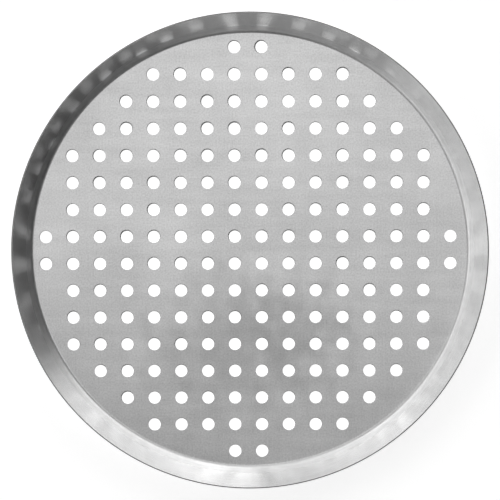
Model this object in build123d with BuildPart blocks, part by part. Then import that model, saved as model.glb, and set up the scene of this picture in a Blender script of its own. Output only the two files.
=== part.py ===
from build123d import *
import os
from math import ceil, cos, pi, radians, sin, sqrt, tan

# A perforated pizza pan, pressed from one round blank of aluminium sheet.
# The floor's underside lies on z = 0 and the rim is centred on the Z axis. Lengths are in millimetres.

# The pressed shape. The corner radius is that of the bend's inside, where the floor turns up into the wall
rim_diameter = 360.0
pan_height = 19.0
sheet_thickness = 1.3
wall_angle = 54.0
corner_radius = 3.6

# The punched holes: a square grid cut off by a circle, which leaves a plain border beside the bend.
# The die was not quite centred on the blank, so the grid stands a little to one side.
hole_diameter = 9.5
hole_pitch = 20.5
plain_border = 3.8
grid_shift_x = -1.4
grid_shift_y = 0.2

# Each hole is a regular polygon of the same area as the round hole, which keeps the model light
hole_sides = 9
hole_corner_radius = hole_diameter / 2 * sqrt(2 * pi / (hole_sides * sin(2 * pi / hole_sides)))

# How far a cut runs past the faces that it passes through
overrun = 1.0

# The rim is trimmed square to the sheet: the wall's outside has the full diameter, its inside the full height
lean = radians(wall_angle)
rim_inner_radius = rim_diameter / 2 - sheet_thickness * sin(lean)
floor_radius = rim_inner_radius - (pan_height - sheet_thickness) / tan(lean)

# The floor is flat as far as the start of the bend
flat_radius = floor_radius - corner_radius * tan(lean / 2)
grid_radius = flat_radius - plain_border - hole_diameter / 2
holes_across = 2 * ceil(grid_radius / hole_pitch)

with BuildPart() as pan:
    # The section runs along the face that the food lies on, and is thickened away from it
    with BuildSketch(Plane.XZ):
        with BuildLine():
            FilletPolyline(
                (0, sheet_thickness),
                (floor_radius, sheet_thickness),
                (rim_inner_radius, pan_height),
                radius=corner_radius,
            )
            offset(amount=sheet_thickness, side=Side.RIGHT)
        make_face()
    revolve(axis=Axis.Z)

    # Every place of the grid that lies within grid_radius of the grid's own centre gets a hole
    grid = GridLocations(hole_pitch, hole_pitch, holes_across, holes_across)
    hole_places = [place for place in grid.local_locations if place.position.length <= grid_radius]
    with BuildSketch(Plane.XY.offset(-overrun)):
        with Locations((grid_shift_x, grid_shift_y)):
            with Locations(hole_places):
                RegularPolygon(hole_corner_radius, hole_sides)
    extrude(amount=sheet_thickness + 2 * overrun, mode=Mode.SUBTRACT)

pan.part.label = "pan"

os.makedirs("parts", exist_ok=True)
export_step(pan.part, "parts/pan.step")

print("holes", len(hole_places), "volume", round(pan.part.volume), "cubic millimetres")
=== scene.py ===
import math
import random

import bpy
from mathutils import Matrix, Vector
from mathutils.geometry import delaunay_2d_cdt


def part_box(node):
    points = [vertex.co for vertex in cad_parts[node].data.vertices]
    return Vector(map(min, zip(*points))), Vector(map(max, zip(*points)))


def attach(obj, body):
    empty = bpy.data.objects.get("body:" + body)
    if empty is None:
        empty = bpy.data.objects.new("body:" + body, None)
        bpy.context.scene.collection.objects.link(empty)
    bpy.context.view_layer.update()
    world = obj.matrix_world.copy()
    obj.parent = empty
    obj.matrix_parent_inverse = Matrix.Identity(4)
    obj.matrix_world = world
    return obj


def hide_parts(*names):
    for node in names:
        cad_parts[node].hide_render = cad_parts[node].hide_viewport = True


# A perforated aluminium pizza pan on a white table, seen from above. Lengths are in metres.

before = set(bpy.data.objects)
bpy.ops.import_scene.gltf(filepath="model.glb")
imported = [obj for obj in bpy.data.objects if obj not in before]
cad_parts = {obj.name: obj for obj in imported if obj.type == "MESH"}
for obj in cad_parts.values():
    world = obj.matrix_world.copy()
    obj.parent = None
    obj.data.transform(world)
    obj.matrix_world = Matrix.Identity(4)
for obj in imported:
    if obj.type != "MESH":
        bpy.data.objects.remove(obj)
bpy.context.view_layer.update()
low_corner, high_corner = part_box("pan")

# The pressed sheet. The rim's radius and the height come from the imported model
RIM_RADIUS = high_corner.x
PAN_HEIGHT = high_corner.z
SHEET = 0.0013
WALL_LEAN = math.radians(54.0)
CORNER_RADIUS = 0.0036
RIM_ROUNDING = 0.0003

# The punched holes
HOLE_RADIUS = 0.00475
HOLE_PITCH = 0.0205
PLAIN_BORDER = 0.0038
GRID_SHIFT = (-0.0014, 0.0002)

# The punch rolls the sheet's top edge down into each hole. On one side it drags more metal in, between the
# least and the most, and more by the rise at the pan's far side. DRAG_TURN is the azimuth of that side at the
# middle, which changes by so much to the metre across and along the sheet, and spreads from hole to hole
ROLL_WIDTH = 0.00012
DRAG_LEAST = 0.00034
DRAG_MOST = 0.00102
DRAG_RISE = 0.35
DRAG_INTO_HOLE_SHARE = 0.35
DRAG_TURN = math.radians(66)
DRAG_TURN_ACROSS = math.radians(-230)
DRAG_TURN_ALONG = math.radians(330)
DRAG_TURN_SPREAD = math.radians(32)
ROLL_DEPTH_SHARE = 0.7
BURR_ROUNDING = 0.0001
SEED = 7

# How finely the curves are divided
AROUND_PAN = 360
AROUND_HOLE = 48
BEND_STEPS = 10
WALL_STEPS = 6
ROUNDING_STEPS = 5
MERGE_DISTANCE = 1e-7

# Where the flat floor ends and the bend starts, on the face that food lies on
RIM_INNER_RADIUS = RIM_RADIUS - SHEET * math.sin(WALL_LEAN)
FLOOR_RADIUS = RIM_INNER_RADIUS - (PAN_HEIGHT - SHEET) / math.tan(WALL_LEAN)
FLAT_RADIUS = FLOOR_RADIUS - CORNER_RADIUS * math.tan(WALL_LEAN / 2)
GRID_RADIUS = FLAT_RADIUS - PLAIN_BORDER - HOLE_RADIUS

# The metal: its reflectance, and how far that varies with the rolling grain, in speckles, smears, blotches
# and large soft clouds. A stretch is how many of them there are to the metre, along X, Y and Z
ALUMINIUM = 0.79
GRAIN_STRETCH = (700.0, 45.0, 45.0)
GRAIN_SPREAD = 0.13
SPECKLE_STRETCH = (800.0, 800.0, 800.0)
SPECKLE_SPREAD = 0.4
SMEAR_STRETCH = (16.0, 120.0, 60.0)
SMEAR_SPREAD = 0.17
BLOTCH_STRETCH = (60.0, 45.0, 60.0)
BLOTCH_SPREAD = 0.14
CLOUD_STRETCH = (8.0, 14.0, 10.0)
CLOUD_SPREAD = 0.2
# Painted shade and painted light on the floor, which stand in for how it mirrors the studio: darker towards
# the near side and lighter at the left. For each: the middle's X and Y, half the width along X and along Y,
# and the share by which the reflectance changes there. Their outlines waver by a share of the width
PAINTED_SHADE_PATCHES = (
    (0.034, -0.056, 0.060, 0.050, -0.16),
    (-0.008, -0.066, 0.100, 0.075, -0.2),
    (-0.060, -0.004, 0.035, 0.070, 0.08),
    (-0.160, 0.002, 0.045, 0.100, 0.09),
)
PAINTED_SHADE_WAVER = 0.9
FLOOR_ROUGHNESS = 0.3
WALL_ROUGHNESS = 0.17
ROUGHNESS_SPREAD = 0.06
# The press draws fine lines and patches round the wall, which is duller low down beside the bend. Outwards
# they are counted to the metre, and round the axis to the radian
DRAWN_OUTWARDS = 900.0
DRAWN_AROUND = 9.0
DRAWN_SPREAD = 0.12
DULL_DRAWN_SPREAD = 0.3
PATCH_OUTWARDS = 220.0
PATCH_AROUND = 34.0
PATCH_SPREAD = 0.15
DULL_ROUGHNESS = 0.34
DULL_WIDTH = 0.0034
DULL_FADE = 0.0009
# The trimmed edge of the rim is a rough cut
CUT_EDGE = 0.2
CUT_EDGE_ROUGHNESS = 0.5
# How many octaves the noises have
FINE_DETAIL = 4.0
MEDIUM_DETAIL = 3.0
SOFT_DETAIL = 2.0
# The grain's relief, and how far the highlights are drawn out across it
BUMP_STRENGTH = 0.05
BUMP_HEIGHT = 0.0002
ANISOTROPY = 0.8
ACROSS_GRAIN = (1.0, 0.0, 0.0)
LEVEL_PART = (1.0, 1.0, 0.0)

# The camera, as it stood over the pan
CAMERA_PLACE = (-0.00097, 0.0997, 1.6875)
CAMERA_TURN = (math.radians(-3.3792), math.radians(-0.0404), math.radians(-0.1445))
CAMERA_LENS_MM = 159.93
CAMERA_SENSOR_MM = 36.0

# The white table. Under the pan it glows more, so that it shows white through the holes. The metal mirrors it
# with the pan's shade on it, which is lighter at the far side, along +Y
TABLE_HALF_WIDTH = 6.0
TABLE_GAP = 0.0001
TABLE_COLOUR = 0.8
TABLE_GLOW = 0.64
TABLE_GLOW_UNDER = 0.88
TABLE_MIRRORED_UNDER = 0.22
TABLE_MIRRORED_FAR = 0.78
TABLE_FAR_START = 0.085
TABLE_FAR_END = 0.135
TABLE_UNDER_START = 0.158
TABLE_UNDER_END = 0.168

# The studio around the pan: soft round panels. Each has the azimuth (from +X towards +Y) and elevation of its
# middle, the angles from there at which it starts and has finished fading, and its brightness
STUDIO_PANELS = (
    # The bright band just above the table, strongest at the far right, with a dark gap at the right
    (30, 14, 2, 30, 0.1),
    (58, 14, 12, 38, 1.5),
    (105, 14, 15, 38, 1.1),
    (135, 14, 8, 34, 0.5),
    (160, 14, 15, 40, 1.0),
    (185, 14, 8, 34, 0.3),
    (208, 14, 8, 34, 0.9),
    (240, 12, 2, 24, 0.4),
    (270, 16, 2, 24, 0.3),
    (300, 14, 2, 30, 0.1),
    # Two weak panels half way up
    (90, 50, 2, 26, 0.4),
    (225, 45, 2, 26, 0.3),
    # The ceiling, which the floor mirrors, brightest at the far side and darkest at the near side
    (90, 78, 2, 24, 0.7),
    (180, 78, 2, 20, 0.5),
    (0, 78, 2, 20, 0.4),
    (270, 74, 2, 24, 0.1),
)
STUDIO_DIM = 0.005
# Below this height, in sines of the elevation, the studio is a white backdrop
BACKDROP_TOP = 0.04
BACKDROP_BOTTOM = 0.02


class Skin:
    """Points with their exact normals, and faces, gathered for one mesh."""

    def __init__(self):
        self.points = []
        self.normals = []
        self.faces = []

    def ring(self, centre, radius, height, normal, count):
        """Adds a level circle of points and returns their numbers. normal is (outwards, upwards)."""
        first = len(self.points)
        size = math.hypot(*normal)
        out, up = normal[0] / size, normal[1] / size
        for step in range(count):
            turn = math.tau * step / count
            east, north = math.cos(turn), math.sin(turn)
            self.points.append((centre[0] + radius * east, centre[1] + radius * north, height))
            self.normals.append((out * east, out * north, up))
        return list(range(first, first + count))

    def revolve(self, centre, rows, count):
        """Adds a band through rows of (radius, height, normal) and returns its first and last ring."""
        rings = [self.ring(centre, radius, height, normal, count) for radius, height, normal in rows]
        self.band(rings)
        return rings[0], rings[-1]

    def band(self, rings):
        """Joins rings of as many points, each to the next."""
        count = len(rings[0])
        for here, there in zip(rings, rings[1:]):
            for step in range(count):
                after = (step + 1) % count
                self.faces.append((here[step], there[step], there[after], here[after]))

    def fill(self, outline, openings, upward):
        """Fills the flat between an outline and the openings in it, all of them rings of point numbers."""
        numbers = []
        owners = []
        edges = []
        for loop in [outline, *openings]:
            start = len(numbers)
            numbers += loop
            owners += [loop[0]] * len(loop)
            edges += [(start + step, start + (step + 1) % len(loop)) for step in range(len(loop))]
        flat = [Vector(self.points[number][:2]) for number in numbers]
        inside_outline = 1
        found = delaunay_2d_cdt(flat, edges, [], inside_outline, MERGE_DISTANCE)
        for triangle in found[2]:
            corners = [found[3][corner][0] for corner in triangle]
            # A triangle whose corners all lie on one opening covers that opening
            if len({owners[corner] for corner in corners}) > 1:
                ordered = corners if upward else corners[::-1]
                self.faces.append([numbers[corner] for corner in ordered])

    def mesh_object(self, name):
        mesh = bpy.data.meshes.new(name)
        mesh.from_pydata(self.points, [], self.faces)
        mesh.shade_smooth()
        mesh.normals_split_custom_set_from_vertices(self.normals)
        made = bpy.data.objects.new(name, mesh)
        bpy.context.scene.collection.objects.link(made)
        return made


def arc(centre, radius, start, end, steps):
    """Rows along a round stretch of the section.

    start and end are the angles of its normal, from outwards to upwards.
    """
    rows = []
    for step in range(steps + 1):
        angle = start + (end - start) * step / steps
        out, up = math.cos(angle), math.sin(angle)
        rows.append((centre[0] + radius * out, centre[1] + radius * up, (out, up)))
    return rows


def straight(start, end, steps):
    """Rows along a straight stretch of the section, without its two ends."""
    shares = [step / steps for step in range(1, steps)]
    return [
        (start[0] + (end[0] - start[0]) * share, start[1] + (end[1] - start[1]) * share, start[2])
        for share in shares
    ]


def pan_section():
    """The section from the floor's top face up the wall, over the cut rim and back to the underside."""
    up = math.radians(90)
    down = math.radians(-90)
    inward = WALL_LEAN + up
    outward = WALL_LEAN - up
    # The wall's two directions in the section: along it, towards the rim, and through it, towards the outside
    along = (math.cos(WALL_LEAN), math.sin(WALL_LEAN))
    through = (math.sin(WALL_LEAN), -math.cos(WALL_LEAN))
    bend_centre = (FLAT_RADIUS, SHEET + CORNER_RADIUS)
    inside_bend = arc(bend_centre, -CORNER_RADIUS, up, inward, BEND_STEPS)
    outside_bend = arc(bend_centre, CORNER_RADIUS + SHEET, outward, down, BEND_STEPS)
    inside_centre = (
        RIM_INNER_RADIUS + RIM_ROUNDING * (through[0] - along[0]),
        PAN_HEIGHT + RIM_ROUNDING * (through[1] - along[1]),
    )
    edge_width = SHEET - 2 * RIM_ROUNDING
    outside_centre = (
        inside_centre[0] + edge_width * through[0],
        inside_centre[1] + edge_width * through[1],
    )
    inside_edge = arc(inside_centre, RIM_ROUNDING, inward, WALL_LEAN, ROUNDING_STEPS)
    outside_edge = arc(outside_centre, RIM_ROUNDING, WALL_LEAN, outward, ROUNDING_STEPS)
    inner_wall = straight(inside_bend[-1], inside_edge[0], WALL_STEPS)
    outer_wall = straight(outside_edge[-1], outside_bend[0], WALL_STEPS)
    return inside_bend + inner_wall + inside_edge + outside_edge + outer_wall + outside_bend


def punch_hole(skin, centre, drag, turn):
    """Adds a punched hole and returns its rings in the underside and in the top face.

    The rolled edge is wider by drag towards turn. A share of that is taken from the hole, and the rest from
    the sheet.
    """
    side = (math.cos(turn), math.sin(turn))
    taken = DRAG_INTO_HOLE_SHARE * drag / 2
    low_centre = (centre[0] - side[0] * taken, centre[1] - side[1] * taken)
    low_radius = HOLE_RADIUS - taken
    rings = [
        skin.ring(low_centre, low_radius + BURR_ROUNDING, 0.0, (0.0, -1.0), AROUND_HOLE),
        skin.ring(low_centre, low_radius, BURR_ROUNDING, (-1.0, 0.0), AROUND_HOLE),
    ]
    for row in range(ROUNDING_STEPS + 1):
        angle = math.radians(90) * row / ROUNDING_STEPS
        out, up = math.cos(angle), math.sin(angle)
        normal = (-out * ROLL_DEPTH_SHARE, up)
        share = 1 - out
        ring = skin.ring(low_centre, low_radius, SHEET, normal, AROUND_HOLE)
        for number in ring:
            east = (skin.points[number][0] - low_centre[0]) / low_radius
            north = (skin.points[number][1] - low_centre[1]) / low_radius
            width = ROLL_WIDTH + drag * (1 + east * side[0] + north * side[1]) / 2
            reach = low_radius + width * share
            height = SHEET - width * ROLL_DEPTH_SHARE * (1 - up)
            skin.points[number] = (low_centre[0] + reach * east, low_centre[1] + reach * north, height)
        rings.append(ring)
    skin.band(rings)
    return rings[0], rings[-1]


def hole_centres():
    """The grid's places that lie within the pattern's radius."""
    across = math.ceil(GRID_RADIUS / HOLE_PITCH)
    steps = [number + 0.5 for number in range(-across, across)]
    places = [(east * HOLE_PITCH, north * HOLE_PITCH) for north in steps for east in steps]
    kept = [place for place in places if math.hypot(*place) <= GRID_RADIUS]
    return [(place[0] + GRID_SHIFT[0], place[1] + GRID_SHIFT[1]) for place in kept]


def build_pan():
    """The pan as one closed skin with round holes, rolled edges and a rounded rim."""
    chance = random.Random(SEED)
    skin = Skin()
    top_outline, bottom_outline = skin.revolve((0.0, 0.0), pan_section(), AROUND_PAN)
    top_openings = []
    bottom_openings = []
    for centre in hole_centres():
        growth = 1 + DRAG_RISE * centre[1] / FLAT_RADIUS
        drag = growth * chance.uniform(DRAG_LEAST, DRAG_MOST)
        usual_turn = DRAG_TURN + DRAG_TURN_ACROSS * centre[0] + DRAG_TURN_ALONG * centre[1]
        turn = chance.gauss(usual_turn, DRAG_TURN_SPREAD)
        bottom, top = punch_hole(skin, centre, drag, turn)
        bottom_openings.append(bottom)
        top_openings.append(top)
    skin.fill(top_outline, top_openings, True)
    skin.fill(bottom_outline, bottom_openings, False)
    return skin.mesh_object("pressed_pan")


class Nodes:
    """Adds shader nodes to a tree, each in one call."""

    def __init__(self, tree):
        self.tree = tree
        tree.nodes.clear()

    def add(self, kind, inputs=None, **settings):
        node = self.tree.nodes.new(kind)
        for name, value in settings.items():
            setattr(node, name, value)
        for name, value in (inputs or {}).items():
            if isinstance(value, bpy.types.NodeSocket):
                self.tree.links.new(value, node.inputs[name])
            else:
                node.inputs[name].default_value = value
        return node

    def math(self, operation, *values):
        return self.add("ShaderNodeMath", dict(enumerate(values)), operation=operation).outputs[0]

    def fade(self, value, low, high, to_low=0.0, to_high=1.0):
        """A smooth passage from to_low to to_high, while value goes from low to high."""
        inputs = {"Value": value, "From Min": low, "From Max": high, "To Min": to_low, "To Max": to_high}
        return self.add("ShaderNodeMapRange", inputs, interpolation_type="SMOOTHSTEP").outputs["Result"]

    def mix(self, share, first, second):
        return self.add("ShaderNodeMix", {"Factor": share, "A": first, "B": second}).outputs["Result"]

    def noise(self, place, stretch, **inputs):
        """Noise whose grains have stretch of them to the metre, along X, Y and Z."""
        stretched = self.add("ShaderNodeMapping", {"Vector": place, "Scale": stretch}).outputs[0]
        settings = {"Vector": stretched, "Scale": 1.0, **inputs}
        return self.add("ShaderNodeTexNoise", settings).outputs["Fac"]

    def around(self, value, middle, spread):
        """Turns a noise from 0 to 1 into one from middle - spread / 2 to middle + spread / 2."""
        return self.math("MULTIPLY_ADD", self.math("SUBTRACT", value, 0.5), spread, middle)

    def vector(self, operation, *values):
        return self.add("ShaderNodeVectorMath", dict(enumerate(values)), operation=operation).outputs[0]

    def length(self, value):
        return self.add("ShaderNodeVectorMath", {0: value}, operation="LENGTH").outputs["Value"]

    def distance_out(self, place):
        """How far a point is from the pan's axis."""
        return self.length(self.vector("MULTIPLY", place, LEVEL_PART))


def floor_shade(nodes, place, rolled):
    """The floor's reflectance: the rolling grain, speckles, smears, blotches and clouds."""
    shade = nodes.around(rolled, ALUMINIUM, GRAIN_SPREAD)
    marks = (
        (SPECKLE_STRETCH, SPECKLE_SPREAD, SOFT_DETAIL),
        (SMEAR_STRETCH, SMEAR_SPREAD, SOFT_DETAIL),
        (BLOTCH_STRETCH, BLOTCH_SPREAD, FINE_DETAIL),
        (CLOUD_STRETCH, CLOUD_SPREAD, SOFT_DETAIL),
    )
    for stretch, spread, detail in marks:
        mark = nodes.noise(place, stretch, Detail=detail)
        shade = nodes.math("ADD", shade, nodes.around(mark, 0.0, spread))
    return shade


def wall_shade(nodes, polar, drawn, burnished):
    """The wall's reflectance: the lines that the press draws, stronger where it is dull, and patches."""
    drawn_spread = nodes.mix(burnished, DULL_DRAWN_SPREAD, DRAWN_SPREAD)
    patches = nodes.noise(polar, (PATCH_OUTWARDS, PATCH_AROUND, PATCH_AROUND), Detail=MEDIUM_DETAIL)
    shade = nodes.around(drawn, ALUMINIUM, drawn_spread)
    return nodes.math("ADD", shade, nodes.around(patches, 0.0, PATCH_SPREAD))


def with_painted_shade(nodes, place, shade):
    """The reflectance with painted shade and painted light: soft darker and lighter places on the floor."""
    waver = nodes.around(nodes.noise(place, BLOTCH_STRETCH, Detail=SOFT_DETAIL), 0.0, PAINTED_SHADE_WAVER)
    for east, north, wide, deep, change in PAINTED_SHADE_PATCHES:
        offset = nodes.vector("SUBTRACT", place, (east, north, 0.0))
        offset = nodes.vector("MULTIPLY", offset, (1 / wide, 1 / deep, 0.0))
        away = nodes.math("ADD", nodes.length(offset), waver)
        shade = nodes.math("MULTIPLY", shade, nodes.fade(away, 0.0, 1.0, 1 + change, 1.0))
    return shade


def aluminium():
    """Satin rolled sheet: a fine straight grain along Y, soft blotches, and a wall burnished by the press."""
    material = bpy.data.materials.new("rolled_aluminium")
    material.use_nodes = True
    nodes = Nodes(material.node_tree)
    place = nodes.add("ShaderNodeTexCoord").outputs["Object"]
    out = nodes.distance_out(place)
    wall = nodes.fade(out, FLAT_RADIUS, FLOOR_RADIUS)
    rim = nodes.fade(out, RIM_INNER_RADIUS, RIM_INNER_RADIUS + RIM_ROUNDING)
    dull_end = FLOOR_RADIUS + DULL_WIDTH
    burnished = nodes.fade(out, dull_end, dull_end + DULL_FADE)

    # The wall's noises go by the distance from the axis and the direction from it
    outwards = nodes.vector("NORMALIZE", nodes.vector("MULTIPLY", place, LEVEL_PART))
    heading = nodes.add("ShaderNodeSeparateXYZ", {"Vector": outwards}).outputs
    polar = nodes.add("ShaderNodeCombineXYZ", {"X": out, "Y": heading["X"], "Z": heading["Y"]}).outputs[0]
    rolled = nodes.noise(place, GRAIN_STRETCH, Detail=FINE_DETAIL)
    drawn = nodes.noise(polar, (DRAWN_OUTWARDS, DRAWN_AROUND, DRAWN_AROUND), Detail=FINE_DETAIL)
    grain = nodes.mix(wall, rolled, drawn)

    shade = nodes.mix(wall, floor_shade(nodes, place, rolled), wall_shade(nodes, polar, drawn, burnished))
    # Painted shade and painted light: the floor is darker towards the near side and lighter at the left
    shade = nodes.mix(rim, with_painted_shade(nodes, place, shade), CUT_EDGE)
    colour = nodes.add("ShaderNodeCombineColor", {"Red": shade, "Green": shade, "Blue": shade}).outputs[0]
    roughness = nodes.mix(wall, FLOOR_ROUGHNESS, nodes.mix(burnished, DULL_ROUGHNESS, WALL_ROUGHNESS))
    roughness = nodes.mix(rim, roughness, CUT_EDGE_ROUGHNESS)
    roughness = nodes.math("ADD", roughness, nodes.around(grain, 0.0, ROUGHNESS_SPREAD))

    # The floor's grain runs along Y, and the lines on the wall run round the axis
    inputs = {"Factor": wall, "A": ACROSS_GRAIN, "B": outwards}
    across = nodes.add("ShaderNodeMix", inputs, data_type="VECTOR").outputs["Result"]
    relief = {"Height": grain, "Strength": BUMP_STRENGTH, "Distance": BUMP_HEIGHT}
    inputs = {
        "Base Color": colour,
        "Metallic": 1.0,
        "Roughness": roughness,
        "Anisotropic": ANISOTROPY,
        "Tangent": across,
        "Normal": nodes.add("ShaderNodeBump", relief).outputs[0],
    }
    shader = nodes.add("ShaderNodeBsdfPrincipled", inputs)
    nodes.add("ShaderNodeOutputMaterial", {"Surface": shader.outputs[0]})
    return material


def white_table():
    """Plain white, which still takes the pan's shadow."""
    material = bpy.data.materials.new("white_table")
    material.use_nodes = True
    nodes = Nodes(material.node_tree)
    place = nodes.add("ShaderNodeTexCoord").outputs["Object"]
    out = nodes.distance_out(place)
    under = nodes.fade(out, TABLE_UNDER_START, TABLE_UNDER_END, 1.0, 0.0)
    path = nodes.add("ShaderNodeLightPath").outputs
    glow = nodes.mix(under, TABLE_GLOW, TABLE_GLOW_UNDER)
    north = nodes.add("ShaderNodeSeparateXYZ", {"Vector": place}).outputs["Y"]
    far_span = (TABLE_FAR_START, TABLE_FAR_END, TABLE_MIRRORED_UNDER, TABLE_MIRRORED_FAR)
    mirrored_glow = nodes.mix(under, TABLE_GLOW, nodes.fade(north, *far_span))
    mirrored = nodes.math("MAXIMUM", path["Is Glossy Ray"], path["Is Transmission Ray"])
    glow = nodes.math("MULTIPLY", glow, path["Is Camera Ray"])
    glow = nodes.math("MULTIPLY_ADD", mirrored_glow, mirrored, glow)
    colour = (TABLE_COLOUR, TABLE_COLOUR, TABLE_COLOUR, 1.0)
    matt = nodes.add("ShaderNodeBsdfDiffuse", {"Color": colour}).outputs[0]
    light = nodes.add("ShaderNodeEmission", {"Strength": glow}).outputs[0]
    both = nodes.add("ShaderNodeAddShader", {0: matt, 1: light}).outputs[0]
    nodes.add("ShaderNodeOutputMaterial", {"Surface": both})
    return material


def build_table():
    """A wide white table under the pan."""
    half = TABLE_HALF_WIDTH
    height = low_corner.z - TABLE_GAP
    corners = [(-half, -half, height), (half, -half, height), (half, half, height), (-half, half, height)]
    mesh = bpy.data.meshes.new("table")
    mesh.from_pydata(corners, [], [(0, 1, 2, 3)])
    mesh.materials.append(white_table())
    table = bpy.data.objects.new("table", mesh)
    bpy.context.scene.collection.objects.link(table)


def light_studio():
    """Soft studio light all round, as panels in the world. The camera itself sees a white backdrop."""
    world = bpy.data.worlds.new("studio")
    bpy.context.scene.world = world
    world.use_nodes = True
    nodes = Nodes(world.node_tree)
    direction = nodes.add("ShaderNodeTexCoord").outputs["Generated"]
    light = STUDIO_DIM
    for azimuth, elevation, start, end, level in STUDIO_PANELS:
        turn = math.radians(azimuth)
        rise = math.radians(elevation)
        middle = (math.cos(turn) * math.cos(rise), math.sin(turn) * math.cos(rise), math.sin(rise))
        nearness = nodes.add("ShaderNodeVectorMath", {0: direction, 1: middle}, operation="DOT_PRODUCT")
        cosines = (math.cos(math.radians(end)), math.cos(math.radians(start)))
        panel = nodes.fade(nearness.outputs["Value"], *cosines, 0.0, level)
        light = nodes.math("ADD", panel, light)
    height = nodes.add("ShaderNodeSeparateXYZ", {"Vector": direction}).outputs["Z"]
    backdrop = nodes.fade(height, BACKDROP_BOTTOM, BACKDROP_TOP, 1.0, 0.0)
    seen = nodes.add("ShaderNodeLightPath").outputs["Is Camera Ray"]
    white = nodes.math("MAXIMUM", backdrop, seen)
    strength = nodes.mix(white, light, 1.0)
    sky = nodes.add("ShaderNodeBackground", {"Color": (1.0, 1.0, 1.0, 1.0), "Strength": strength}).outputs[0]
    nodes.add("ShaderNodeOutputWorld", {"Surface": sky})


def place_camera():
    lens = bpy.data.cameras.new("camera")
    lens.lens = CAMERA_LENS_MM
    lens.sensor_width = CAMERA_SENSOR_MM
    camera = bpy.data.objects.new("camera", lens)
    camera.location = CAMERA_PLACE
    camera.rotation_euler = CAMERA_TURN
    bpy.context.scene.collection.objects.link(camera)
    bpy.context.scene.camera = camera


pan = build_pan()
pan.data.materials.append(aluminium())
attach(pan, "root")
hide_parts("pan")

build_table()
light_studio()
place_camera()
bpy.context.scene.view_settings.view_transform = "Standard"
